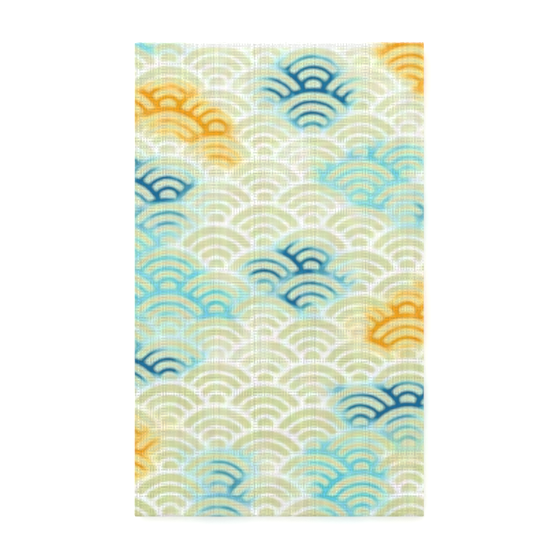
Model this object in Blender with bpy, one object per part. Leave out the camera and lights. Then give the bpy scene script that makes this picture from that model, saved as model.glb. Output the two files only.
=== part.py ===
"""A tenugui, the plain-woven cotton hand towel, folded flat.

One cloth with cut ends and woven edges is turned in thirds across its width, which makes a strip of three plies.
The strip then lies back and forth in fifths along its length, which makes a pile of five layers.
The solid is that strip: one section of five layers, a little apart, each as thick as its three plies.

Metres, +Z up. The origin is the middle of the underside, +X runs across the pile and +Y along it.
Front is the end at -Y and back is the end at +Y.
"""

import math
from collections import namedtuple

import bmesh
import bpy
from mathutils import Vector

# The cloth as it is cut
CLOTH_WIDTH = 0.330
CLOTH_LENGTH = 0.900

# The way it is folded
PLIES = 3
LAYERS = 5
FACE_WIDTH = CLOTH_WIDTH / PLIES
FACE_LENGTH = CLOTH_LENGTH / LAYERS

# Thickness: a ply of this cotton with the air under it, the strip of three, and the air between layers
PLY_THICKNESS = 0.00035
LAYER_THICKNESS = PLIES * PLY_THICKNESS
LAYER_GAP = 0.00030

# A turn of the strip springs open a little, and lifts the layers above it over a short reach
TURN_SWELL = 0.00030
SWELL_REACH = 0.022
SWELL_LEVEL = 0.0045

# Steps that round stretches are drawn with
TURN_STEPS = 8
SWELL_STEPS = 5
SIDE_STEPS = 4

# A row for each place where the strip ends or turns, from the bottom of the pile to its top:
# the end of the pile it lies at, how far it stays short of the face's edge there,
# how far the strip has crept sideways, and how much narrower it is than the face
Turn = namedtuple("Turn", "end short_of_face sideways narrower")
TURNS = (
    Turn("front", 0.0016, 0.00030, 0.0011),
    Turn("back", 0.0009, -0.00040, 0.0012),
    Turn("front", 0.0011, 0.00035, 0.0009),
    Turn("back", 0.0005, -0.00015, 0.0006),
    Turn("front", 0.0, 0.0, 0.0),
    Turn("back", 0.0, 0.0, 0.0),
)

# The cloth's mean colour: pale yellow-green waves on white
CLOTH_COLOUR = (0.66, 0.72, 0.50, 1.0)
CLOTH_ROUGHNESS = 0.9

# Where the strip's middle line passes, which way it runs there, and its place and width across the pile
Station = namedtuple("Station", "y z along_y along_z sideways half_width")


def smooth_step(t):
    """0 below 0, 1 above 1, and level at both."""
    t = min(max(t, 0.0), 1.0)
    return t * t * (3 - 2 * t)


def end_sign(end):
    return 1 if end == "back" else -1


def swell(y, end):
    """How far a turn at that end lifts what lies above it, at a place along the pile."""
    from_end = FACE_LENGTH / 2 - end_sign(end) * y
    return TURN_SWELL * smooth_step((SWELL_REACH - from_end) / (SWELL_REACH - SWELL_LEVEL))


def layer_height(layer, y):
    """The middle of a layer above the surface: the layers and gaps under it, and the turns that lift it."""
    turns_below = TURNS[1 : layer + 1]
    lift = sum(swell(y, turn.end) for turn in turns_below)
    return LAYER_THICKNESS / 2 + layer * (LAYER_THICKNESS + LAYER_GAP) + lift


def turn_radius():
    """Radius of the strip's middle line round a turn, which is half the height from layer to layer there."""
    return (LAYER_THICKNESS + LAYER_GAP + TURN_SWELL) / 2


def straight_end(turn, is_free):
    """Where a layer stops being straight: at a free end's cut, or where the arc of a turn begins."""
    reach = 0.0 if is_free else turn_radius() + LAYER_THICKNESS / 2
    return end_sign(turn.end) * (FACE_LENGTH / 2 - turn.short_of_face - reach)


def across(start, stop, share):
    """Sideways place and half width of the strip, part of the way from one turn to the next."""
    sideways = start.sideways + share * (stop.sideways - start.sideways)
    narrower = start.narrower + share * (stop.narrower - start.narrower)
    return sideways, (FACE_WIDTH - narrower) / 2


def layer_places(first, last):
    """Places along a layer: both its ends, and steps over the two stretches where turns lift it."""
    step = (SWELL_REACH - SWELL_LEVEL) / SWELL_STEPS
    swells = [FACE_LENGTH / 2 - SWELL_LEVEL - i * step for i in range(SWELL_STEPS + 1)]
    middle = sorted([-y for y in swells] + swells, reverse=first > last)
    return [first, *middle, last]


def layer_stations(layer):
    """The straight stretch of one layer, from where the strip comes in to where it leaves."""
    start, stop = TURNS[layer], TURNS[layer + 1]
    first = straight_end(start, layer == 0)
    last = straight_end(stop, layer == LAYERS - 1)
    heading = 1 if last > first else -1
    probe = 0.0001
    found = []
    for y in layer_places(first, last):
        slope = (layer_height(layer, y + probe) - layer_height(layer, y - probe)) / (2 * probe)
        length = math.hypot(1.0, slope)
        sideways, half_width = across(start, stop, abs(y - first) / abs(last - first))
        height = layer_height(layer, y)
        found.append(Station(y, height, heading / length, heading * slope / length, sideways, half_width))
    return found


def turn_stations(layer):
    """The half circle that carries the strip from the end of one layer up to the next."""
    turn = TURNS[layer + 1]
    sign, radius = end_sign(turn.end), turn_radius()
    middle_y = straight_end(turn, False)
    middle_z = layer_height(layer, middle_y) + radius
    half_width = (FACE_WIDTH - turn.narrower) / 2
    found = []
    for i in range(1, TURN_STEPS):
        angle = math.pi * i / TURN_STEPS
        y = middle_y + sign * radius * math.sin(angle)
        z = middle_z - radius * math.cos(angle)
        found.append(Station(y, z, sign * math.cos(angle), math.sin(angle), turn.sideways, half_width))
    return found


def strip_stations():
    """The whole strip, from its cut end at the bottom of the pile to its cut end on top."""
    found = []
    for layer in range(LAYERS):
        found += layer_stations(layer)
        if layer < LAYERS - 1:
            found += turn_stations(layer)
    return found


def section_ring(station):
    """The strip's section at a station: flat above and below, and round where the plies turn at its two sides."""
    place = Vector((station.sideways, station.y, station.z))
    out_of_face = Vector((0.0, -station.along_z, station.along_y))
    radius = LAYER_THICKNESS / 2
    ring = []
    for side in (1, -1):
        for i in range(SIDE_STEPS + 1):
            angle = math.pi * (i / SIDE_STEPS - 0.5)
            x = side * (station.half_width - radius + radius * math.cos(angle))
            ring.append(place + Vector((x, 0.0, 0.0)) + side * radius * math.sin(angle) * out_of_face)
    return ring


def strip_mesh():
    """The closed solid that the section leaves as it follows the strip."""
    shape = bmesh.new()
    rings = [[shape.verts.new(point) for point in section_ring(s)] for s in strip_stations()]
    for ring, after in zip(rings, rings[1:]):
        for i, vertex in enumerate(ring):
            j = (i + 1) % len(ring)
            shape.faces.new((vertex, ring[j], after[j], after[i]))
    shape.faces.new(rings[0])
    shape.faces.new(rings[-1])
    bmesh.ops.recalc_face_normals(shape, faces=shape.faces)
    mesh = bpy.data.meshes.new("towel")
    shape.to_mesh(mesh)
    shape.free()
    return mesh


def cotton():
    material = bpy.data.materials.new("cotton")
    material.use_nodes = True
    shader = material.node_tree.nodes["Principled BSDF"]
    shader.inputs["Base Color"].default_value = CLOTH_COLOUR
    shader.inputs["Roughness"].default_value = CLOTH_ROUGHNESS
    shader.inputs["Metallic"].default_value = 0.0
    return material


def main():
    for left_over in list(bpy.data.objects):
        bpy.data.objects.remove(left_over, do_unlink=True)
    mesh = strip_mesh()
    mesh.materials.append(cotton())
    mesh.shade_smooth()
    mesh.set_sharp_from_angle(angle=math.radians(40))
    bpy.context.scene.collection.objects.link(bpy.data.objects.new("towel", mesh))


main()
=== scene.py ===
"""A tenugui, the plain-woven cotton hand towel, folded flat and seen from straight above.

The cloth is one thin sheet, as long and wide as it was cut. It is turned in thirds across its width, and
the strip that this makes lies back and forth in fifths. Its wave pattern, dye and weave are worked out from
places on the flat cloth, so they follow it round every fold.

Metres. +X runs to the photograph's right, +Y to its top and +Z towards its camera.
"""

import math
from collections import namedtuple

import bpy
import numpy as np
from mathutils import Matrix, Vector


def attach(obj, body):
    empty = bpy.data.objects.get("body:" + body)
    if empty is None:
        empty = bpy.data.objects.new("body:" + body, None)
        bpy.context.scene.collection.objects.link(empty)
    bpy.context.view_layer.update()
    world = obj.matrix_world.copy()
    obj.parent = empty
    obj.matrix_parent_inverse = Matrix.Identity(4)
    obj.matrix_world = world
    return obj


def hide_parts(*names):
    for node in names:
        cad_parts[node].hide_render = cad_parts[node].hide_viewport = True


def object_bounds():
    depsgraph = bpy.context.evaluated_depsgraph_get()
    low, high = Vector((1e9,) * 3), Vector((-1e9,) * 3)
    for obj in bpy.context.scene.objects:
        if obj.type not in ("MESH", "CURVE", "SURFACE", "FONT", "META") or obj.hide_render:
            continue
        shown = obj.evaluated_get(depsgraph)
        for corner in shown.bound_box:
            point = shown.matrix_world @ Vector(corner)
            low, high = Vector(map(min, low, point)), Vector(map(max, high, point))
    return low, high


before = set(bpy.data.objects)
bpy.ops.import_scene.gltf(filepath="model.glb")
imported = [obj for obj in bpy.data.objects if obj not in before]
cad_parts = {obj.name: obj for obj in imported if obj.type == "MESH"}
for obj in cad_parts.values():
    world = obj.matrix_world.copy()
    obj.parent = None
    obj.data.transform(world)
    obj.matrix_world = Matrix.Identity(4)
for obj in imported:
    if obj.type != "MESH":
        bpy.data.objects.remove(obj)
cad_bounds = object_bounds()

MM = 0.001

# The photograph: the width that it takes in, and how far its middle lies from the middle of the cloth
PHOTO_SPAN = 212.7 * MM
PHOTO_SHIFT = Vector((0.30 * MM, 0.01 * MM))

# The cloth as it is cut
CLOTH_WIDTH = 0.330
CLOTH_LENGTH = 0.900

# The way it is folded, and the face that shows
PLIES = 3
LAYERS = 5
FACE_WIDTH = CLOTH_WIDTH / PLIES
FACE_LENGTH = CLOTH_LENGTH / LAYERS

# Thickness of the cloth, of a ply with the air under it, and of the strip of three
SHEET = 0.00029
PLY = 0.00035
LAYER_THICKNESS = PLIES * PLY
LAYER_GAP = 0.00030
TURN_SWELL = 0.00030
SWELL_REACH = 0.022
SWELL_LEVEL = 0.0045

# How far the two flaps reach back under the face: the right one lies in the middle, the left one below it
RIGHT_FLAP = 0.1083
LEFT_FLAP = 0.1091

# Steps of the mesh along a flat stretch and round a bend
ACROSS_STEPS = 30
BEND_STEPS = 8
ALONG_STEPS = 54
TURN_STEPS = 10

# A row for each place where the strip ends or turns, from the bottom of the pile to its top:
# the end of the pile it lies at, how far it stays short of the face's edge there,
# how far the strip has crept sideways, and how much narrower it is than the face
Turn = namedtuple("Turn", "end short_of_face sideways narrower")
TURNS = (
    Turn("front", 0.0016, 0.00030, 0.0011),
    Turn("back", 0.0009, -0.00040, 0.0012),
    Turn("front", 0.0011, 0.00035, 0.0009),
    Turn("back", 0.0005, -0.00015, 0.0006),
    Turn("front", 0.0, 0.0, 0.0),
    Turn("back", 0.0, 0.0, 0.0),
)

# Unevenness: a few long ripples, the same for all plies of a layer and less for the layers below
Ripple = namedtuple("Ripple", "along_x along_y phase height")
RIPPLES = (
    Ripple(31.0, 47.0, 0.3, 0.00005),
    Ripple(-68.0, 39.0, 1.9, 0.00004),
    Ripple(112.0, -83.0, 4.1, 0.00003),
    Ripple(24.0, 151.0, 2.6, 0.00003),
)
RIPPLE_LEVEL = sum(ripple.height for ripple in RIPPLES) / 2

# The long edges' own waver, in and out
EDGE_WAVER = 0.00004

# The wave scales: circles in rows, each row half a scale along from the next, the lower rows in front.
# The rows fall a little towards the right and lean a little.
SCALE_PITCH = 36.346 * MM
SCALE_RADIUS = SCALE_PITCH / 2
ROW_RISE = 8.579 * MM
FIRST_SCALE = Vector((-5.50 * MM, 46.805 * MM))
ROW_FALL = 0.0093
ROW_LEAN = 0.0018

# The print is drawn a little out of true, in long waves: half waves across the face and along it,
# and how far in millimetres they move it across and up
Drawn = namedtuple("Drawn", "halves_across halves_along across up")
PRINT_DRAWN = (
    Drawn(0, 2, 0.341, 0.241),
    Drawn(2, 0, -0.074, 0.360),
    Drawn(1, 1, 0.207, -0.249),
    Drawn(3, 0, -0.080, -0.120),
    Drawn(0, 4, 0.074, 0.060),
    Drawn(1, 2, -0.112, -0.033),
    Drawn(1, 0, -0.046, -0.053),
    Drawn(0, 6, 0.067, 0.011),
    Drawn(3, 1, 0.086, -0.012),
    Drawn(2, 2, -0.062, 0.060),
)

# The green bands of a scale, as shares of its radius
Band = namedtuple("Band", "inner outer")
BANDS = (Band(0.733, 0.892), Band(0.515, 0.6625), Band(0.300, 0.4375), Band(-0.215, 0.215))

# More shares of the radius: how round the bands' corners are, how soft their edges,
# how far in a bleed of dye is full and how far it reaches, and how deep a thin line is and one between scales
CORNER_ROUNDING = 0.12
LINE_SOFTNESS = 0.034
BLEED_START = 0.015
BLEED_REACH = 0.070
THIN_LINE = 0.030
WIDE_LINE = 0.054

# Threads of the plain weave
WARP_PITCH = 0.520 * MM
WEFT_PITCH = 0.555 * MM
SELVEDGE = 3.0 * MM
SELVEDGE_DENSITY = 1.5

# How far threads stray from straight, in pitches, and over how wide a stretch,
# and the power that says how full a thread stays where it dips under another
THREAD_STRAY = 0.9
STRAY_SIZE = 5 * MM
THREAD_FULLNESS = 0.35

# How much the shade varies from thread to thread at random, from each to the next and along one thread, how
# long a thick place is and how far it shifts at the next thread, how strong the painted light and shade is
# that makes the crossings lighter and darker by turns as warp or weft lies on top, the painted shade in the
# hollows between threads and on the threads' crests, and the relief
THREAD_CONTRAST = 0.05
NEXT_CONTRAST = 0.25
SLUB_CONTRAST = 0.32
SLUB_LENGTH = 6 * MM
SLUB_STEP = 0.37
WEAVE_PAINTED_SHADE = 0.09
HOLLOW_PAINTED_SHADE = 0.89
CREST_PAINTED_SHADE = 0.957
THREAD_RELIEF = 0.12 * MM
RELIEF_STRENGTH = 0.3

# The ends that the warp threads fray into where the cloth is cut
YARN_RADIUS = 0.12 * MM
YARN_ROOT = 0.20 * MM
YARN_LENGTHS = (0.15 * MM, 0.70 * MM)
YARN_LEAN = 0.45
YARN_SEED = 5

# Clouds of dye on the face, in millimetres from its middle: place, reach along and across, turn in degrees
# (anticlockwise) and strength, where 1 is full dye. Past the face's edges the layout is mirrored.
Cloud = namedtuple("Cloud", "dye x y reach_x reach_y turn strength")
CLOUDS = (
    Cloud("orange", -44.5, 66.8, 13.0, 7.2, -8, 1.0),
    Cloud("orange", -36.0, 71.5, 4.5, 2.6, 0, 0.9),
    Cloud("orange", -40.5, 74.0, 4.0, 1.8, 0, 0.7),
    Cloud("orange", -34.0, 70.0, 4.5, 2.2, -20, 0.9),
    Cloud("orange", -28.0, 60.3, 10.8, 6.3, -30, 1.0),
    Cloud("orange", -19.5, 54.5, 3.0, 1.8, -30, 0.8),
    Cloud("orange", -35.0, 55.8, 7.5, 3.0, -26, 0.85),
    Cloud("orange", -44.5, 59.0, 6.5, 4.0, -5, 0.5),
    Cloud("orange", -54.5, 62.5, 2.5, 3.0, 0, 0.8),
    Cloud("orange", -21.8, 47.3, 7.2, 4.2, -25, 0.8),
    Cloud("orange", -29.5, 49.5, 4.0, 3.0, 0, 0.3),
    Cloud("orange", -40.0, 70.0, 15.0, 8.0, -10, 0.12),
    Cloud("orange", -24.0, 50.0, 13.0, 8.0, -30, 0.15),
    Cloud("orange", 51.5, 84.0, 12.5, 8.3, -25, 0.93),
    Cloud("orange", 54.0, 74.0, 3.5, 4.0, 0, 0.9),
    Cloud("orange", 41.0, 87.5, 4.5, 3.0, 0, 0.9),
    Cloud("orange", 33.0, 79.0, 8.0, 6.0, 0, 0.12),
    Cloud("orange", 48.5, -12.0, 8.5, 6.0, 0, 1.0),
    Cloud("orange", 49.5, -6.5, 6.5, 2.5, 0, 0.7),
    Cloud("orange", 46.0, -19.0, 13.0, 6.5, 4, 1.0),
    Cloud("orange", 38.5, -22.5, 6.0, 4.0, -20, 1.0),
    Cloud("orange", 37.5, -14.5, 4.5, 3.5, -35, 0.85),
    Cloud("orange", 41.0, -15.5, 15.0, 10.5, 10, 0.2),
    Cloud("orange", 31.5, -19.0, 8.5, 8.0, 0, 0.2),
    Cloud("orange", 44.0, -27.5, 9.5, 3.0, 0, 0.25),
    Cloud("orange", 54.0, -4.3, 4.0, 4.5, 0, 0.52),
    Cloud("orange", -54.0, -58.0, 4.0, 2.5, 0, 0.95),
    Cloud("orange", -51.5, -63.0, 5.7, 3.7, 25, 0.95),
    Cloud("orange", -54.5, -69.5, 4.8, 5.4, 0, 1.0),
    Cloud("orange", -54.5, -52.0, 4.0, 2.5, 0, 0.3),
    Cloud("orange", -53.0, -64.0, 8.0, 12.0, 0, 0.25),
    Cloud("orange", -47.5, -55.5, 9.0, 6.0, 0, 0.2),
    Cloud("orange", 48.5, -64.5, 8.0, 7.0, 0, 0.18),
    Cloud("deep", 11.8, 76.3, 10.0, 8.6, 0, 1.05),
    Cloud("deep", 4.4, 80.2, 3.8, 2.0, -25, 0.95),
    Cloud("deep", 0.8, 72.9, 6.6, 4.6, -10, 0.95),
    Cloud("deep", 23.0, 69.8, 4.6, 4.6, 0, 1.0),
    Cloud("deep", 12.3, 65.5, 9.4, 4.8, 0, 0.95),
    Cloud("deep", 12.0, 60.9, 7.8, 3.2, 0, 0.72),
    Cloud("deep", -46.0, 35.2, 10.8, 6.1, -5, 1.0),
    Cloud("deep", -48.5, 38.5, 5.0, 2.5, 20, 1.3),
    Cloud("deep", -36.7, 35.8, 4.6, 4.0, -20, 0.85),
    Cloud("deep", -51.3, 42.0, 4.8, 2.3, 35, 1.0),
    Cloud("deep", -54.5, 44.3, 3.0, 2.5, 0, 0.75),
    Cloud("deep", -43.3, 24.2, 7.9, 4.0, 0, 0.62),
    Cloud("deep", -51.5, 23.8, 4.5, 5.0, 0, 0.5),
    Cloud("deep", 55.0, 26.3, 3.6, 5.2, 0, 0.5),
    Cloud("deep", 8.8, 8.3, 9.6, 4.9, -8, 0.98),
    Cloud("deep", 4.2, 12.0, 3.0, 2.4, 30, 0.9),
    Cloud("deep", 9.0, 3.0, 5.0, 3.0, 0, 0.95),
    Cloud("deep", -4.3, 3.7, 7.7, 4.2, -14, 0.98),
    Cloud("deep", -6.0, 0.4, 4.2, 2.4, 0, 0.55),
    Cloud("deep", -2.8, -2.6, 3.4, 3.0, 0, 0.45),
    Cloud("deep", 12.0, -2.8, 10.2, 5.0, -6, 0.78),
    Cloud("deep", 6.0, -6.7, 6.0, 3.1, -24, 1.0),
    Cloud("deep", 16.0, 3.5, 4.0, 2.5, 0, 0.7),
    Cloud("deep", 7.5, -11.5, 3.5, 2.0, -50, 0.3),
    Cloud("deep", 23.0, 1.2, 4.2, 2.4, -20, 0.5),
    Cloud("deep", 26.5, 0.0, 3.8, 3.4, 0, 0.38),
    Cloud("deep", -46.5, -31.6, 9.4, 4.5, -5, 1.1),
    Cloud("deep", -48.5, -28.0, 4.5, 2.0, 10, 0.65),
    Cloud("deep", -51.0, -30.8, 5.5, 4.3, -25, 1.25),
    Cloud("deep", -48.0, -35.0, 3.2, 2.0, 0, 0.75),
    Cloud("deep", -54.5, -25.0, 2.5, 2.5, 0, 0.5),
    Cloud("deep", -53.8, -36.3, 3.5, 2.6, -30, 1.0),
    Cloud("deep", -38.0, -30.5, 5.5, 2.5, -15, 0.6),
    Cloud("deep", 47.5, -44.2, 9.5, 4.9, 0, 1.4),
    Cloud("deep", 33.0, -47.5, 9.3, 5.0, -4, 0.95),
    Cloud("deep", 39.0, -48.5, 7.0, 4.5, 20, 1.3),
    Cloud("deep", 40.0, -42.0, 3.2, 2.3, 0, 1.0),
    Cloud("deep", 47.5, -48.8, 6.0, 2.4, 5, 1.3),
    Cloud("deep", 30.5, -52.7, 5.2, 2.7, 0, 0.72),
    Cloud("deep", 22.5, -41.8, 4.5, 2.2, 0, 0.45),
    Cloud("deep", 44.0, -52.5, 8.0, 2.6, 5, 0.6),
    Cloud("deep", 46.5, -58.3, 8.5, 4.4, 0, 0.4),
    Cloud("deep", -19.8, -72.5, 6.8, 4.2, -20, 0.65),
    Cloud("deep", -16.2, -79.0, 3.3, 5.6, 10, 0.65),
    Cloud("deep", -13.2, -84.0, 3.5, 3.0, 0, 0.5),
    Cloud("deep", -22.5, -82.5, 9.0, 2.2, 0, 0.4),
    Cloud("deep", -22.5, -88.5, 8.6, 3.2, 0, 0.65),
    Cloud("deep", -23.0, -77.0, 5.0, 2.5, 0, 0.35),
    Cloud("deep", -16.0, -66.0, 5.0, 2.0, -25, 0.22),
    Cloud("light", -51.5, 89.0, 4.5, 2.4, -20, 0.7),
    Cloud("light", -41.0, 89.0, 11.0, 4.5, 0, 0.2),
    Cloud("light", 10.0, 71.5, 21.0, 16.0, 0, 0.22),
    Cloud("light", 28.0, 75.5, 4.0, 3.0, 0, 0.4),
    Cloud("light", 30.5, 39.5, 14.0, 7.2, 0, 0.52),
    Cloud("light", 18.7, 40.3, 4.9, 4.5, 30, 0.72),
    Cloud("light", 20.5, 35.5, 4.0, 2.5, 0, 0.5),
    Cloud("light", 15.0, 43.0, 4.0, 3.0, 0, 0.3),
    Cloud("light", 29.0, 47.3, 4.5, 2.2, 15, 0.78),
    Cloud("light", 35.5, 47.3, 3.5, 3.0, 0, 0.85),
    Cloud("light", 38.5, 51.3, 3.2, 2.4, 30, 0.5),
    Cloud("light", 39.5, 43.8, 3.2, 2.4, 0, 0.85),
    Cloud("light", 43.5, 40.0, 3.5, 4.0, -30, 0.88),
    Cloud("light", 47.0, 46.5, 9.8, 5.6, 0, 0.62),
    Cloud("light", 35.0, 31.3, 8.8, 5.4, -5, 0.72),
    Cloud("light", 44.5, 37.5, 5.5, 3.0, 0, 0.65),
    Cloud("light", 49.0, 27.0, 9.0, 9.5, 0, 0.35),
    Cloud("light", -42.0, 30.0, 17.0, 16.0, 0, 0.22),
    Cloud("light", -46.0, 17.3, 8.5, 4.2, 0, 0.45),
    Cloud("light", -50.0, 14.0, 8.0, 4.0, 10, 0.6),
    Cloud("light", -54.5, 10.5, 3.5, 3.5, 0, 0.7),
    Cloud("light", -44.0, 4.5, 12.0, 7.0, 0, 0.8),
    Cloud("light", -32.8, 2.0, 4.6, 2.2, 5, 0.9),
    Cloud("light", -43.0, -6.0, 13.5, 7.6, 0, 0.82),
    Cloud("light", -53.0, -13.5, 4.5, 4.0, 0, 0.55),
    Cloud("light", -54.8, -5.5, 2.8, 4.0, 0, 1.0),
    Cloud("light", -27.5, -8.3, 10.5, 7.0, -8, 0.9),
    Cloud("light", -20.3, -12.8, 5.6, 3.0, 15, 0.78),
    Cloud("light", -14.0, -6.0, 4.5, 3.2, 60, 0.5),
    Cloud("light", -42.0, -22.0, 15.0, 9.0, 0, 0.3),
    Cloud("light", -31.5, -30.5, 6.5, 2.6, 30, 0.45),
    Cloud("light", 6.0, 1.5, 23.0, 15.0, 0, 0.22),
    Cloud("light", 11.0, -12.5, 7.0, 4.0, 0, 0.25),
    Cloud("light", 38.0, -50.0, 19.0, 12.0, 0, 0.3),
    Cloud("light", 49.0, -63.0, 8.0, 4.0, 0, 0.35),
    Cloud("light", -23.0, -76.0, 14.0, 13.0, 0, 0.32),
    Cloud("light", -12.5, -67.0, 4.0, 4.0, 0, 0.36),
    Cloud("light", -34.5, -67.0, 5.0, 4.0, 0, 0.28),
    Cloud("light", -10.0, -73.0, 4.0, 6.0, 0, 0.3),
    Cloud("light", 29.8, -69.0, 7.8, 5.8, 0, 0.8),
    Cloud("light", 37.0, -73.3, 4.2, 3.2, 0, 0.85),
    Cloud("light", 22.5, -74.0, 3.5, 3.0, 0, 1.0),
    Cloud("light", 18.0, -67.5, 8.3, 7.0, 0, 0.75),
    Cloud("light", 12.8, -72.5, 3.8, 3.0, 0, 0.75),
    Cloud("light", 30.0, -80.3, 10.3, 7.3, 0, 0.85),
    Cloud("light", 19.5, -78.8, 6.6, 6.0, 20, 1.1),
    Cloud("light", 24.0, -87.0, 9.0, 4.0, 0, 0.7),
    Cloud("light", 10.5, -70.0, 4.8, 4.0, 0, 0.4),
    Cloud("light", 8.0, -78.0, 5.5, 5.0, 0, 0.2),
    Cloud("light", 27.0, -63.5, 13.0, 5.5, 0, 0.4),
    Cloud("light", 38.5, -84.5, 4.0, 4.0, 0, 0.4),
)

# How far the outlines of the bands sway and fray, and how uneven the dye is within a cloud
LINE_SWAY = 0.6 * MM
LINE_FRAY = 0.5 * MM
DYE_UNEVENNESS = 0.8

# A cloud is full this far inside its outline and gone this far outside it, and it drifts about
CLOUD_INNER = 2.0 * MM
CLOUD_OUTER = 5.5 * MM
CLOUD_FALL = 2.2
CLOUD_DRIFT = 1.6 * MM


# The studio: how bright the sky is, the floor's reach, drop, shade and own glow, the soft lamp,
# and the camera's height over the face
SKY_STRENGTH = 0.80
FLOOR_HALF = 2.0
FLOOR_DROP = 0.00002
FLOOR_SHADE = 0.96
FLOOR_GLOW = 0.22
LAMP_PLACE = Vector((-0.45, 0.85, 1.55))
LAMP_SIZE = 1.6
LAMP_ENERGY = 12.8
CAMERA_HEIGHT = 1.2


def display(red, green, blue):
    """A colour as it looks on screen, 0 to 255, as the linear colour that a shader wants."""
    linear = []
    for value in (red, green, blue):
        share = value / 255
        linear.append(share / 12.92 if share <= 0.04045 else ((share + 0.055) / 1.055) ** 2.4)
    return (*linear, 1.0)


# The undyed lines, and what the green beside a thin line does to it, undyed and dyed
UNDYED = display(244, 245, 243)
THIN_TINT = (0.955, 0.978, 0.905, 1.0)
DYED_THIN_TINT = (0.90, 0.99, 0.82, 1.0)

# How far the colour wanders about its mean from place to place
HUE_WANDER = 0.34

# The colour goes to the undyed colour towards a cut end: where it is all undyed and where it is whole again,
# from the end, over the middle of the face and not towards its two sides
PALE_END = (1.0 * MM, 2.4 * MM)
PALE_SIDES = (30 * MM, 42 * MM)

# The green of the bands, near the photograph's lower edge and near its upper one
# The lower green is more saturated, which is the dye, and also darker, which is painted shade.
GREEN_LOW = display(208, 214, 160)
GREEN_HIGH = display(217, 222, 182)
GREEN_FADE = 0.40
# Painted shade: the whole cloth darker by this factor towards the face's lower edge, as light falls off there
LOW_PAINTED_SHADE = 0.955

# What each dye does: on a line, from faint to full, in the middle of a band and at a band's edge
Dye = namedtuple("Dye", "on_line band_middle band_edge")
DYES = {
    "light": Dye(
        ((0.2, display(222, 241, 241)), (0.5, display(162, 222, 232)), (1.0, display(98, 201, 230))),
        display(220, 217, 168),
        display(186, 235, 215),
    ),
    "deep": Dye(
        (
            (0.2, display(212, 236, 241)),
            (0.5, display(122, 188, 207)),
            (0.86, display(25, 128, 171)),
            (1.0, display(9, 110, 160)),
        ),
        display(212, 218, 180),
        display(189, 231, 220),
    ),
    "orange": Dye(
        ((0.2, display(247, 241, 209)), (0.5, display(247, 207, 122)), (1.0, display(241, 161, 8))),
        display(229, 219, 153),
        display(248, 216, 122),
    ),
}


def smooth_step(t):
    """0 below 0, 1 above 1, and level at both."""
    t = min(max(t, 0.0), 1.0)
    return t * t * (3 - 2 * t)


# The middle line of the strip is the same as the solid's.
# A station is where it passes, which way it runs there, and its place and width across the pile.
Station = namedtuple("Station", "y z along_y along_z sideways half_width")


def end_sign(end):
    return 1 if end == "back" else -1


def swell(y, end):
    """How far a turn at that end lifts what lies above it, at a place along the pile."""
    from_end = FACE_LENGTH / 2 - end_sign(end) * y
    return TURN_SWELL * smooth_step((SWELL_REACH - from_end) / (SWELL_REACH - SWELL_LEVEL))


def layer_height(layer, y):
    """The middle of a layer above the surface: the layers and gaps under it, and the turns that lift it."""
    lift = sum(swell(y, turn.end) for turn in TURNS[1 : layer + 1])
    return LAYER_THICKNESS / 2 + layer * (LAYER_THICKNESS + LAYER_GAP) + lift


def turn_radius():
    return (LAYER_THICKNESS + LAYER_GAP + TURN_SWELL) / 2


def straight_end(turn, is_free):
    """Where a layer stops being straight: at a free end's cut, or where the arc of a turn begins."""
    reach = 0.0 if is_free else turn_radius() + LAYER_THICKNESS / 2
    return end_sign(turn.end) * (FACE_LENGTH / 2 - turn.short_of_face - reach)


def layer_stations(layer):
    start, stop = TURNS[layer], TURNS[layer + 1]
    first = straight_end(start, layer == 0)
    last = straight_end(stop, layer == LAYERS - 1)
    heading = 1 if last > first else -1
    probe = 0.0001
    found = []
    for i in range(ALONG_STEPS + 1):
        share = i / ALONG_STEPS
        y = first + share * (last - first)
        slope = (layer_height(layer, y + probe) - layer_height(layer, y - probe)) / (2 * probe)
        length = math.hypot(1.0, slope)
        sideways = start.sideways + share * (stop.sideways - start.sideways)
        narrower = start.narrower + share * (stop.narrower - start.narrower)
        half_width = (FACE_WIDTH - narrower) / 2
        height = layer_height(layer, y)
        found.append(Station(y, height, heading / length, heading * slope / length, sideways, half_width))
    return found


def turn_stations(layer):
    turn = TURNS[layer + 1]
    sign, radius = end_sign(turn.end), turn_radius()
    middle_y = straight_end(turn, False)
    middle_z = layer_height(layer, middle_y) + radius
    half_width = (FACE_WIDTH - turn.narrower) / 2
    found = []
    for i in range(1, TURN_STEPS):
        angle = math.pi * i / TURN_STEPS
        y = middle_y + sign * radius * math.sin(angle)
        z = middle_z - radius * math.cos(angle)
        found.append(Station(y, z, sign * math.cos(angle), math.sin(angle), turn.sideways, half_width))
    return found


def strip_stations():
    """The whole strip, from its cut end at the bottom of the pile to its cut end on top."""
    found = []
    for layer in range(LAYERS):
        found += layer_stations(layer)
        if layer < LAYERS - 1:
            found += turn_stations(layer)
    return found


# The strip's section is the cloth turned in thirds. A fibre is a place across the cloth: how far from its
# middle it lies when flat, where it lies in the section (across from the strip's left or right side, and
# out of the middle ply), and which way its face looks there.
Fibre = namedtuple("Fibre", "flat side from_side out look_across look_out")


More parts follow.
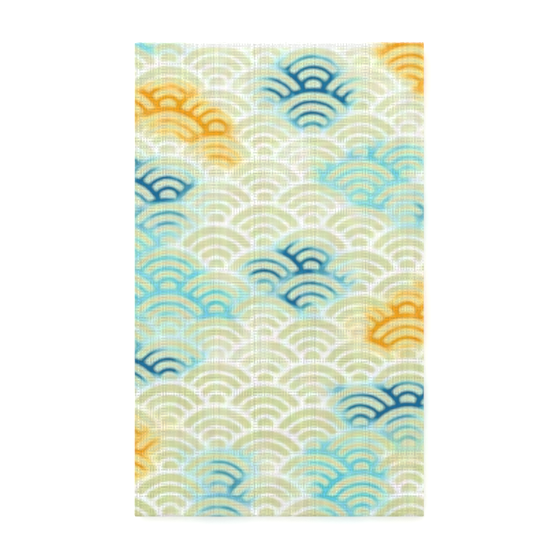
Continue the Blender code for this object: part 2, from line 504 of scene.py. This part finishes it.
def strip_section():
    """Places across the cloth, from its left woven edge to its right one."""
    left_bend, right_bend = PLY, PLY / 2
    left_inset = SHEET / 2 + left_bend
    right_inset = SHEET / 2 + right_bend
    face_left = -(FACE_WIDTH / 2 - left_inset)
    face_right = FACE_WIDTH / 2 - right_inset
    found = []
    for i in range(ACROSS_STEPS + 1):
        back = LEFT_FLAP * (1 - i / ACROSS_STEPS)
        flat = face_left - math.pi * left_bend - back
        found.append(Fibre(flat, -1, left_inset + back, -PLY, 0.0, -1.0))
    for i in range(1, BEND_STEPS):
        angle = math.pi * i / BEND_STEPS
        flat = face_left - left_bend * (math.pi - angle)
        inset = left_inset - left_bend * math.sin(angle)
        found.append(Fibre(flat, -1, inset, -left_bend * math.cos(angle), -math.sin(angle), -math.cos(angle)))
    for i in range(ACROSS_STEPS + 1):
        flat = face_left + (face_right - face_left) * i / ACROSS_STEPS
        side = -1 if i <= ACROSS_STEPS / 2 else 1
        found.append(Fibre(flat, side, FACE_WIDTH / 2 + (flat if side < 0 else -flat), PLY, 0.0, 1.0))
    for i in range(1, BEND_STEPS):
        angle = math.pi * i / BEND_STEPS
        inset = right_inset - right_bend * math.sin(angle)
        out = PLY - right_bend * (1 - math.cos(angle))
        found.append(Fibre(face_right + right_bend * angle, 1, inset, out, math.sin(angle), math.cos(angle)))
    for i in range(ACROSS_STEPS + 1):
        back = RIGHT_FLAP * i / ACROSS_STEPS
        flat = face_right + math.pi * right_bend + back
        found.append(Fibre(flat, 1, right_inset + back, 0.0, 0.0, -1.0))
    return found


def ripple_height(x, y):
    return sum(r.height * (1 + math.sin(r.along_x * x + r.along_y * y + r.phase)) / 2 for r in RIPPLES)


def edge_waver(distance, side):
    phase = 1.1 if side > 0 else 4.4
    long_wave = 0.6 * math.sin(63 * distance + phase)
    short_wave = 0.4 * math.sin(171 * distance + 2 * phase)
    return EDGE_WAVER * (1 + long_wave + short_wave) / 2


def lengths_along(stations):
    """Distance of each station from the first, along the strip's middle line."""
    found = [0.0]
    for before, after in zip(stations, stations[1:]):
        found.append(found[-1] + math.hypot(after.y - before.y, after.z - before.z))
    return found


def place_on_strip(station, fibre, distance, offset):
    """Where a place on the cloth lies in the pile, offset out of its face."""
    reach = station.half_width - edge_waver(distance, fibre.side)
    from_side = fibre.from_side * 2 * station.half_width / FACE_WIDTH
    x = station.sideways + fibre.side * (reach - from_side) + fibre.look_across * offset
    out = fibre.out + fibre.look_out * offset
    y = station.y - station.along_z * out
    z = station.z + station.along_y * out
    share_up = z / cad_bounds[1][2]
    return Vector((x, y, z + share_up * (ripple_height(x, y) - RIPPLE_LEVEL)))


def cloth_quads(rows, columns):
    """The sheet's faces: the row, column and side of each corner, and the part of the cloth that it is in."""

    def edge(start, stop):
        return [(*start, 0), (*stop, 0), (*stop, 1), (*start, 1)], "edge"

    top_row = rows - ALONG_STEPS - 1 - TURN_STEPS
    left_column, right_column = ACROSS_STEPS, 2 * ACROSS_STEPS + 2 * BEND_STEPS
    quads = []
    for row in range(rows - 1):
        for column in range(columns - 1):
            around = [(row, column), (row, column + 1), (row + 1, column + 1), (row + 1, column)]
            on_top = row >= top_row and left_column <= column < right_column
            quads.append(([(*place, 0) for place in around], "top" if on_top else "face"))
            quads.append(([(*place, 1) for place in reversed(around)], "reverse"))
    for column in range(columns - 1):
        quads.append(edge((0, column + 1), (0, column)))
        quads.append(edge((rows - 1, column), (rows - 1, column + 1)))
    for row in range(rows - 1):
        quads.append(edge((row, 0), (row + 1, 0)))
        quads.append(edge((row + 1, columns - 1), (row, columns - 1)))
    return quads


# Where each part of the cloth lies in a square picture of it. The top of the pile, which shows, has most of
# it. The cloth's own thickness is drawn beside its face, wider than it is.
Patch = namedtuple("Patch", "left right")
PATCHES = {
    "top": Patch(0.005, 0.600),
    "face": Patch(0.615, 0.800),
    "edge": Patch(0.615, 0.800),
    "reverse": Patch(0.815, 0.995),
}
PICTURE_MARGIN = 0.008
EDGE_DRAWN = 2.5 * MM


def picture_place(part, flat, distance, window):
    """Where a place on the flat cloth lies in the picture, in the window of the cloth that its part shows."""
    patch = PATCHES[part]
    (left, right), (start, stop) = window
    across = (flat - left) / (right - left)
    along = (distance - start) / (stop - start)
    u = patch.left + across * (patch.right - patch.left)
    return u, PICTURE_MARGIN + along * (1 - 2 * PICTURE_MARGIN)


def build_cloth(stations, fibres, distances, face_middle):
    """The sheet's two faces and four edges, with its flat places and its layout in a picture as UV maps."""
    rows, columns = len(stations), len(fibres)
    points = []
    for offset in (SHEET / 2, -SHEET / 2):
        for station, distance in zip(stations, distances):
            points += [place_on_strip(station, fibre, distance, offset) for fibre in fibres]
    quads = cloth_quads(rows, columns)
    faces = [[(side * rows + row) * columns + column for row, column, side in quad] for quad, part in quads]
    mesh = bpy.data.meshes.new("cloth")
    mesh.from_pydata(points, [], faces)
    mesh.shade_smooth()
    mesh.set_sharp_from_angle(angle=math.radians(50))

    whole = ((fibres[0].flat, fibres[-1].flat), (0.0, distances[-1]))
    bends = (fibres[ACROSS_STEPS].flat, fibres[2 * ACROSS_STEPS + 2 * BEND_STEPS].flat)
    top = (bends, (distances[rows - ALONG_STEPS - 1 - TURN_STEPS], distances[-1]))
    flat_places, picture_places = [], []
    for quad, part in quads:
        for row, column, side in quad:
            flat, distance = fibres[column].flat, distances[row]
            flat_places += (flat, distance - face_middle)
            if part == "edge" and side:
                along_end = {0: -1, rows - 1: 1}.get(row, 0) if quad[0][0] == quad[1][0] else 0
                across_end = {0: -1, columns - 1: 1}.get(column, 0) if quad[0][1] == quad[1][1] else 0
                flat += across_end * EDGE_DRAWN
                distance += along_end * EDGE_DRAWN
            picture_places += picture_place(part, flat, distance, top if part == "top" else whole)
    mesh.uv_layers.new(name="cloth").uv.foreach_set("vector", flat_places)
    mesh.uv_layers.new(name="OFBake").uv.foreach_set("vector", picture_places)
    return mesh


def point_across(line, flats, flat):
    """The point at a place across the cloth, on a line of points with a place for each."""
    return np.array([np.interp(flat, flats, axis) for axis in line.T])


def build_yarn_ends(stations, fibres, distances, face_middle):
    """The frayed ends of the warp threads along the cloth's two cut ends, as small three-sided spikes."""
    random = np.random.default_rng(YARN_SEED)
    flats = [fibre.flat for fibre in fibres]
    points, faces, flat_of = [], [], []
    for row, way in ((0, -1), (len(stations) - 1, 1)):
        station, distance = stations[row], distances[row]
        line = np.array([place_on_strip(station, fibre, distance, 0.0) for fibre in fibres])
        outward = way * np.array((0.0, station.along_y, station.along_z))
        for flat in np.arange(flats[0] + WARP_PITCH / 2, flats[-1], WARP_PITCH):
            root = point_across(line, flats, flat)
            beside = point_across(line, flats, flat + WARP_PITCH / 4)
            across = (beside - root) / np.linalg.norm(beside - root)
            up = np.cross(outward, across)
            length, lean = random.uniform(*YARN_LENGTHS), random.uniform(-YARN_LEAN, YARN_LEAN)
            first = len(points)
            for reach, thickness in ((-YARN_ROOT, 1.0), (0.6 * length, 0.85)):
                middle = root + reach * outward + lean * max(reach, 0.0) * across
                for corner in range(3):
                    angle = math.pi * (0.5 + 2 * corner / 3)
                    spoke = math.cos(angle) * across + math.sin(angle) * up
                    points.append(middle + thickness * YARN_RADIUS * spoke)
                    flat_across = flat + YARN_RADIUS * math.cos(angle)
                    flat_of.append((flat_across, distance + way * reach - face_middle))
            points.append(root + length * (outward + 1.3 * lean * across))
            flat_of.append((flat, distance + way * length - face_middle))
            for corner in range(3):
                after = (corner + 1) % 3
                faces.append((first + corner, first + after, first + 3 + after, first + 3 + corner))
                faces.append((first + 3 + corner, first + 3 + after, first + 6))
            faces.append((first + 2, first + 1, first))
    mesh = bpy.data.meshes.new("yarn_ends")
    mesh.from_pydata(points, [], faces)
    mesh.shade_smooth()
    corners = np.zeros(len(mesh.loops), dtype=np.int32)
    mesh.loops.foreach_get("vertex_index", corners)
    mesh.uv_layers.new(name="cloth").uv.foreach_set("vector", np.array(flat_of)[corners].ravel())
    return mesh


class Graph:
    """Short calls for the nodes of one material."""

    def __init__(self, material):
        material.use_nodes = True
        self.tree = material.node_tree
        self.nodes = self.tree.nodes
        self.shader = self.nodes["Principled BSDF"]

    def put(self, socket, value):
        if isinstance(value, bpy.types.NodeSocket):
            self.tree.links.new(value, socket)
        else:
            socket.default_value = value

    def math(self, operation, *values, clamp=False):
        node = self.nodes.new("ShaderNodeMath")
        node.operation = operation
        node.use_clamp = clamp
        for socket, value in zip(node.inputs, values):
            self.put(socket, value)
        return node.outputs[0]

    def vector(self, operation, *values):
        node = self.nodes.new("ShaderNodeVectorMath")
        node.operation = operation
        for socket, value in zip(node.inputs, values):
            self.put(socket, value)
        return node.outputs["Value"] if operation == "LENGTH" else node.outputs["Vector"]

    def join(self, x, y, z=0.0):
        node = self.nodes.new("ShaderNodeCombineXYZ")
        for socket, value in zip(node.inputs, (x, y, z)):
            self.put(socket, value)
        return node.outputs[0]

    def apart(self, value):
        node = self.nodes.new("ShaderNodeSeparateXYZ")
        self.put(node.inputs[0], value)
        return node.outputs["X"], node.outputs["Y"]

    def step(self, value, low, high, to_low=0.0, to_high=1.0, way="SMOOTHSTEP"):
        """Goes from to_low to to_high as the value goes from low to high, and stays level beyond them."""
        node = self.nodes.new("ShaderNodeMapRange")
        node.interpolation_type = way
        settings = {"Value": value, "From Min": low, "From Max": high, "To Min": to_low, "To Max": to_high}
        for name, number in settings.items():
            self.put(node.inputs[name], number)
        return node.outputs["Result"]

    def noise(self, place, size, detail, seed):
        """Smooth noise from 0 to 1 with humps about as wide as size, as a number and as a colour."""
        node = self.nodes.new("ShaderNodeTexNoise")
        node.noise_dimensions = "4D"
        self.put(node.inputs["Vector"], place)
        node.inputs["W"].default_value = seed
        node.inputs["Scale"].default_value = 1 / size
        node.inputs["Detail"].default_value = detail
        return node.outputs["Fac"], node.outputs["Color"]

    def chance(self, value, seed):
        """A number from 0 to 1 for each whole number."""
        node = self.nodes.new("ShaderNodeTexWhiteNoise")
        node.noise_dimensions = "2D"
        self.put(node.inputs["Vector"], self.join(value, seed))
        return node.outputs["Value"]

    def mix(self, share, first, second, way="MIX"):
        node = self.nodes.new("ShaderNodeMix")
        node.data_type = "RGBA"
        node.blend_type = way
        self.put(node.inputs["Factor"], share)
        self.put(node.inputs[6], first)
        self.put(node.inputs[7], second)
        return node.outputs[2]

    def ramp(self, value, stops):
        node = self.nodes.new("ShaderNodeValToRGB")
        self.put(node.inputs["Fac"], value)
        elements = node.color_ramp.elements
        while len(elements) < len(stops):
            elements.new(1.0)
        for element, (position, colour) in zip(elements, stops):
            element.position = position
            element.color = colour
        return node.outputs["Color"]


def flat_place(g):
    """The place on the flat cloth, in metres from the face's middle: across, along, and both as a vector."""
    node = g.nodes.new("ShaderNodeUVMap")
    node.uv_map = "cloth"
    return (*g.apart(node.outputs["UV"]), node.outputs["UV"])


def band_field(g, radius):
    """How far inside a green band of its scale a place lies, as a share of the scale's radius."""
    deepest = None
    for band in BANDS:
        middle = (band.inner + band.outer) / 2
        half = (band.outer - band.inner) / 2
        inside = g.math("SUBTRACT", half, g.math("ABSOLUTE", g.math("SUBTRACT", radius, middle)))
        deepest = inside if deepest is None else g.math("MAXIMUM", deepest, inside)
    return deepest


def half_waves(g, value, size, count):
    """That many half waves over the face, from 1 at its left or lower edge."""
    return g.math("COSINE", g.math("MULTIPLY_ADD", value, count * math.pi / size, count * math.pi / 2))


def trued(g, x, y):
    """The place where the print would have been, for a place where it was drawn to."""
    place = g.join(x, y)
    for drawn in PRINT_DRAWN:
        across = half_waves(g, x, FACE_WIDTH, drawn.halves_across)
        along = half_waves(g, y, FACE_LENGTH, drawn.halves_along)
        wave = g.math("MULTIPLY", across, along)
        moved = (-drawn.across * MM, -drawn.up * MM, 0.0)
        place = g.vector("MULTIPLY_ADD", g.join(wave, wave), moved, place)
    return g.apart(place)


def wave_field(g, x, y):
    """How far inside a green band a place lies, with the scales of lower rows in front of those behind."""
    x, y = trued(g, x, y)
    across = g.math("MULTIPLY_ADD", y, ROW_LEAN, x)
    up = g.math("MULTIPLY_ADD", x, ROW_FALL, y)
    rows_up = g.math("DIVIDE", g.math("SUBTRACT", up, FIRST_SCALE.y), ROW_RISE)
    row = g.math("FLOOR", rows_up)
    above = g.math("SUBTRACT", rows_up, row)
    along = g.math("DIVIDE", g.math("SUBTRACT", across, FIRST_SCALE.x), SCALE_PITCH)
    radii = []
    for rows_down in range(3):
        parity = g.math("FLOORED_MODULO", g.math("SUBTRACT", row, float(rows_down)), 2.0)
        place = g.math("SUBTRACT", along, g.math("MULTIPLY", parity, 0.5))
        off = g.math("SUBTRACT", place, g.math("ROUND", place))
        beside = g.math("MULTIPLY", off, SCALE_PITCH / SCALE_RADIUS)
        over = g.math("MULTIPLY", g.math("ADD", above, float(rows_down)), ROW_RISE / SCALE_RADIUS)
        radii.append(g.vector("LENGTH", g.join(beside, over)))
    clear_of_front = g.math("SUBTRACT", radii[2], 1.0)
    field = band_field(g, radii[2])
    for rows_down in (1, 0):
        band = g.math("SMOOTH_MIN", band_field(g, radii[rows_down]), clear_of_front, CORNER_ROUNDING)
        field = g.math("MAXIMUM", field, band)
        clear = g.math("SUBTRACT", radii[rows_down], 1.0)
        clear_of_front = g.math("MINIMUM", clear_of_front, clear)
    return field


def mirrored(g, value, size):
    """A coordinate that runs back and forth over the face, the same as before on the face itself."""
    return g.math("SUBTRACT", g.math("PINGPONG", g.math("ADD", value, size / 2), size), size / 2)


def from_cloud(g, across, up, cloud):
    """A place seen from a cloud's middle, as shares of its reach. Across and up each come as two alike."""
    turn = math.radians(cloud.turn)
    by_across = Vector((math.cos(turn) / cloud.reach_x, -math.sin(turn) / cloud.reach_y, 0.0)) / MM
    by_up = Vector((math.sin(turn) / cloud.reach_x, math.cos(turn) / cloud.reach_y, 0.0)) / MM
    middle = -MM * (cloud.x * by_across + cloud.y * by_up)
    return g.vector("MULTIPLY_ADD", up, by_up, g.vector("MULTIPLY_ADD", across, by_across, middle))


def cloud_strengths(g, face_place, place):
    """How much of each dye a place has taken, from 0 to 1."""
    drift = g.vector("SUBTRACT", g.noise(place, 9 * MM, 2.0, 3.0)[1], (0.5, 0.5, 0.5))
    drifted = g.vector("MULTIPLY_ADD", drift, (2 * CLOUD_DRIFT, 2 * CLOUD_DRIFT, 0.0), face_place)
    across, up = (g.join(value, value) for value in g.apart(drifted))
    nearness = {}
    for cloud in CLOUDS:
        away = g.vector("LENGTH", from_cloud(g, across, up, cloud))
        reach = (cloud.reach_x + cloud.reach_y) / 2 * MM
        most = cloud.strength ** (1 / CLOUD_FALL)
        near = g.step(away, 1 - CLOUD_INNER / reach, 1 + CLOUD_OUTER / reach, most, 0.0, way="LINEAR")
        so_far = nearness.get(cloud.dye)
        nearness[cloud.dye] = near if so_far is None else g.math("MAXIMUM", so_far, near)
    return {dye: g.math("POWER", near, CLOUD_FALL) for dye, near in nearness.items()}


def plain_weave(g, x, y):
    """Height of the threads from 0 to 1, and a shade for each thread that varies a little about 1, times a
    painted light and shade that makes the crossings lighter and darker by turns.
    """
    from_edge = g.math("SUBTRACT", CLOTH_WIDTH / 2, g.math("ABSOLUTE", x))
    density = g.step(from_edge, SELVEDGE * 0.8, SELVEDGE, SELVEDGE_DENSITY, 1.0)
    warp = g.math("MULTIPLY", g.math("DIVIDE", x, WARP_PITCH), density)
    weft = g.math("DIVIDE", y, WEFT_PITCH)
    warp = g.math("MULTIPLY_ADD", g.noise(g.join(x, y), STRAY_SIZE, 1.0, 11.0)[0], THREAD_STRAY, warp)
    weft = g.math("MULTIPLY_ADD", g.noise(g.join(x, y), STRAY_SIZE, 1.0, 17.0)[0], THREAD_STRAY, weft)
    warp_number, weft_number = g.math("FLOOR", warp), g.math("FLOOR", weft)
    warp_round = g.math("SINE", g.math("MULTIPLY", g.math("FRACT", warp), math.pi))
    weft_round = g.math("SINE", g.math("MULTIPLY", g.math("FRACT", weft), math.pi))
    warp_over = g.math("FLOORED_MODULO", g.math("ADD", warp_number, weft_number), 2.0)
    warp_height = g.math("MULTIPLY", warp_round, g.math("POWER", weft_round, THREAD_FULLNESS))
    weft_height = g.math("MULTIPLY", weft_round, g.math("POWER", warp_round, THREAD_FULLNESS))
    height = g.math("MULTIPLY_ADD", warp_over, g.math("SUBTRACT", warp_height, weft_height), weft_height)
    warp_shade = thread_shade(g, warp_number, y, 1.0)
    weft_shade = thread_shade(g, weft_number, x, 2.0)
    shade = g.math("MULTIPLY_ADD", warp_over, g.math("SUBTRACT", warp_shade, weft_shade), weft_shade)
    # Painted light and shade: the crossings lighter and darker by turns, as warp or weft lies on top
    warp_wave = g.math("SINE", g.math("MULTIPLY", warp, math.pi))
    weft_wave = g.math("SINE", g.math("MULTIPLY", weft, math.pi))
    over_painted_shade = g.math("MULTIPLY_ADD", g.math("MULTIPLY", warp_wave, weft_wave), -WEAVE_PAINTED_SHADE, 1.0)
    return height, g.math("MULTIPLY", shade, over_painted_shade)


def thread_shade(g, number, along, seed):
    """One thread lighter or darker than the next, and each one's own thick and thin places."""
    chance = g.chance(number, seed)
    change = g.math("SUBTRACT", chance, g.chance(g.math("ADD", number, 1.0), seed))
    own = g.math("MULTIPLY_ADD", chance, THREAD_CONTRAST, 1 - THREAD_CONTRAST / 2)
    own = g.math("MULTIPLY_ADD", change, NEXT_CONTRAST, own)
    along_thread = g.join(g.math("MULTIPLY", number, SLUB_STEP), g.math("DIVIDE", along, SLUB_LENGTH))
    slub = g.math("MULTIPLY_ADD", g.noise(along_thread, 1.0, 2.0, seed)[0], SLUB_CONTRAST, -SLUB_CONTRAST / 2)
    return g.math("ADD", own, slub)


def tint_of(colour):
    """What an undyed thread is multiplied by to take that colour."""
    return (*(dyed / undyed for dyed, undyed in zip(colour[:3], UNDYED)), 1.0)


def pale_at_end(g, face_x, y):
    """How far the colour goes to the undyed colour towards the two cut ends."""
    middle = FACE_LENGTH / 2 - CLOTH_LENGTH / 2
    from_end = g.math("SUBTRACT", CLOTH_LENGTH / 2, g.math("ABSOLUTE", g.math("SUBTRACT", y, middle)))
    missing = g.step(from_end, *PALE_END, 1.0, 0.0)
    return g.math("MULTIPLY", missing, g.step(g.math("ABSOLUTE", face_x), *PALE_SIDES, 1.0, 0.0))


def dyed_colour(g, x, y, place):
    """The cloth's colour before its weave: green bands and lines between them, both dyed in clouds."""
    sway = g.vector("SUBTRACT", g.noise(place, 7 * MM, 1.0, 5.0)[1], (0.5, 0.5, 0.5))
    fray = g.vector("SUBTRACT", g.noise(place, 0.7 * MM, 1.0, 7.0)[1], (0.5, 0.5, 0.5))
    drawn = g.vector("MULTIPLY_ADD", sway, (LINE_SWAY, LINE_SWAY, 0.0), place)
    drawn = g.vector("MULTIPLY_ADD", fray, (LINE_FRAY, LINE_FRAY, 0.0), drawn)
    field = wave_field(g, *g.apart(drawn))
    in_band = g.step(field, -LINE_SOFTNESS, LINE_SOFTNESS)
    band_edge = g.step(field, BLEED_START, BLEED_REACH, 1.0, 0.0)
    thin = g.step(field, -WIDE_LINE, -THIN_LINE)

    face_x, face_y = mirrored(g, x, FACE_WIDTH), mirrored(g, y, FACE_LENGTH)
    strengths = cloud_strengths(g, g.join(face_x, face_y), place)
    patchy = g.noise(place, 6 * MM, 3.0, 23.0)[0]
    uneven = g.math("MULTIPLY_ADD", patchy, DYE_UNEVENNESS, 1 - DYE_UNEVENNESS / 2)
    line = g.mix(thin, (1.0, 1.0, 1.0, 1.0), THIN_TINT)
    line = g.mix(1.0, line, UNDYED, "MULTIPLY")
    band = g.mix(g.step(face_y, -FACE_LENGTH / 2, FACE_LENGTH / 2), GREEN_LOW, GREEN_HIGH)
    faded = g.step(g.noise(place, 17 * MM, 2.0, 41.0)[0], 0.45, 0.72, 0.0, GREEN_FADE)
    band = g.mix(faded, band, UNDYED)
    most = 0.0
    for name in ("light", "deep", "orange"):
        dye, amount = DYES[name], strengths[name]
        taken = g.math("MULTIPLY", amount, uneven, clamp=True)
        most = g.math("MAXIMUM", taken, most)
        stops = [(position, tint_of(colour)) for position, colour in dye.on_line]
        line = g.mix(1.0, line, g.ramp(taken, [(0.0, (1.0, 1.0, 1.0, 1.0)), *stops]), "MULTIPLY")
        band = g.mix(g.step(taken, 0.0, 0.8, 0.0, 0.9), band, dye.band_middle)
        bleed = g.math("MULTIPLY", band_edge, g.step(taken, 0.0, 0.6, 0.0, 0.85))
        band = g.mix(bleed, band, dye.band_edge)
    line = g.mix(g.math("MULTIPLY", thin, most), line, DYED_THIN_TINT, "MULTIPLY")
    wander = g.noise(place, 5 * MM, 2.0, 47.0)[1]
    hue = g.vector("MULTIPLY_ADD", wander, (HUE_WANDER,) * 3, (1 - HUE_WANDER / 2,) * 3)
    dyed = g.mix(1.0, g.mix(in_band, line, band), hue, "MULTIPLY")
    return g.mix(pale_at_end(g, face_x, y), dyed, UNDYED)


def dyed_cotton():
    material = bpy.data.materials.new("dyed_cotton")
    g = Graph(material)
    x, y, place = flat_place(g)
    height, shade = plain_weave(g, x, y)
    tone = g.step(g.noise(place, 14 * MM, 3.0, 31.0)[0], 0.25, 0.75, 0.97, 1.03)
    face_y = mirrored(g, y, FACE_LENGTH)
    # Painted shade: darker towards the face's lower edge
    painted_lower_shade = g.step(face_y, -FACE_LENGTH / 2, FACE_LENGTH / 2, LOW_PAINTED_SHADE, 1.0, way="LINEAR")
    tone = g.math("MULTIPLY", tone, painted_lower_shade)
    # Painted shade: darker in the hollows between threads, less so on their crests
    painted_hollow_shade = g.step(height, 0.0, 0.8, HOLLOW_PAINTED_SHADE, CREST_PAINTED_SHADE)
    # The threads' own random tone, times painted shade in the hollows, between crossings and towards the
    # lower edge
    weave_tone_and_painted_shade = g.math("MULTIPLY", g.math("MULTIPLY", shade, painted_hollow_shade), tone)
    colour = dyed_colour(g, x, y, place)
    g.put(g.shader.inputs["Base Color"], g.mix(1.0, colour, g.join(weave_tone_and_painted_shade, weave_tone_and_painted_shade, weave_tone_and_painted_shade), "MULTIPLY"))

    g.put(g.shader.inputs["Roughness"], g.step(height, 0.0, 1.0, 0.95, 0.82))
    g.shader.inputs["Specular IOR Level"].default_value = 0.25
    g.shader.inputs["Sheen Weight"].default_value = 0.12
    g.shader.inputs["Sheen Roughness"].default_value = 0.5
    bump = g.nodes.new("ShaderNodeBump")
    bump.inputs["Strength"].default_value = RELIEF_STRENGTH
    bump.inputs["Distance"].default_value = THREAD_RELIEF
    g.put(bump.inputs["Height"], height)
    g.put(g.shader.inputs["Normal"], bump.outputs["Normal"])
    return material


def plain_floor():
    material = bpy.data.materials.new("floor")
    g = Graph(material)
    g.shader.inputs["Base Color"].default_value = (FLOOR_SHADE, FLOOR_SHADE, FLOOR_SHADE, 1.0)
    g.shader.inputs["Emission Color"].default_value = (1.0, 1.0, 1.0, 1.0)
    g.shader.inputs["Emission Strength"].default_value = FLOOR_GLOW
    g.shader.inputs["Roughness"].default_value = 1.0
    g.shader.inputs["Specular IOR Level"].default_value = 0.0
    return material


def build_floor():
    mesh = bpy.data.meshes.new("floor")
    signs = ((-1, -1), (1, -1), (1, 1), (-1, 1))
    corners = [(x * FLOOR_HALF, y * FLOOR_HALF, -FLOOR_DROP) for x, y in signs]
    mesh.from_pydata(corners, [], [(0, 1, 2, 3)])
    mesh.materials.append(plain_floor())
    floor = bpy.data.objects.new("floor", mesh)
    bpy.context.scene.collection.objects.link(floor)


def build_light():
    world = bpy.data.worlds.new("studio")
    world.use_nodes = True
    background = world.node_tree.nodes["Background"]
    background.inputs["Color"].default_value = (1.0, 1.0, 1.0, 1.0)
    background.inputs["Strength"].default_value = SKY_STRENGTH
    bpy.context.scene.world = world
    lamp = bpy.data.lights.new("softbox", "AREA")
    lamp.shape = "DISK"
    lamp.size = LAMP_SIZE
    lamp.energy = LAMP_ENERGY
    box = bpy.data.objects.new("softbox", lamp)
    box.location = LAMP_PLACE
    box.rotation_euler = (-box.location).to_track_quat("-Z", "Y").to_euler()
    bpy.context.scene.collection.objects.link(box)


def build_camera(face_height):
    data = bpy.data.cameras.new("camera")
    data.sensor_fit = "HORIZONTAL"
    data.sensor_width = 36.0
    data.lens = data.sensor_width * CAMERA_HEIGHT / PHOTO_SPAN
    data.clip_start = 0.05
    camera = bpy.data.objects.new("camera", data)
    camera.location = (PHOTO_SHIFT.x, PHOTO_SHIFT.y, face_height + CAMERA_HEIGHT)
    bpy.context.scene.collection.objects.link(camera)
    bpy.context.scene.camera = camera


def add_piece(name, mesh, material):
    mesh.materials.append(material)
    piece = bpy.data.objects.new(name, mesh)
    bpy.context.scene.collection.objects.link(piece)
    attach(piece, "root")
    return piece


def main():
    bpy.context.scene.view_settings.view_transform = "Standard"
    stations = strip_stations()
    distances = lengths_along(stations)
    fibres = strip_section()
    face_middle = distances[-1] - FACE_LENGTH / 2
    material = dyed_cotton()
    cloth = add_piece("cloth", build_cloth(stations, fibres, distances, face_middle), material)
    yarn_ends = add_piece("yarn_ends", build_yarn_ends(stations, fibres, distances, face_middle), material)
    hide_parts("towel")
    build_floor()
    build_light()
    build_camera(cad_bounds[1][2])


main()
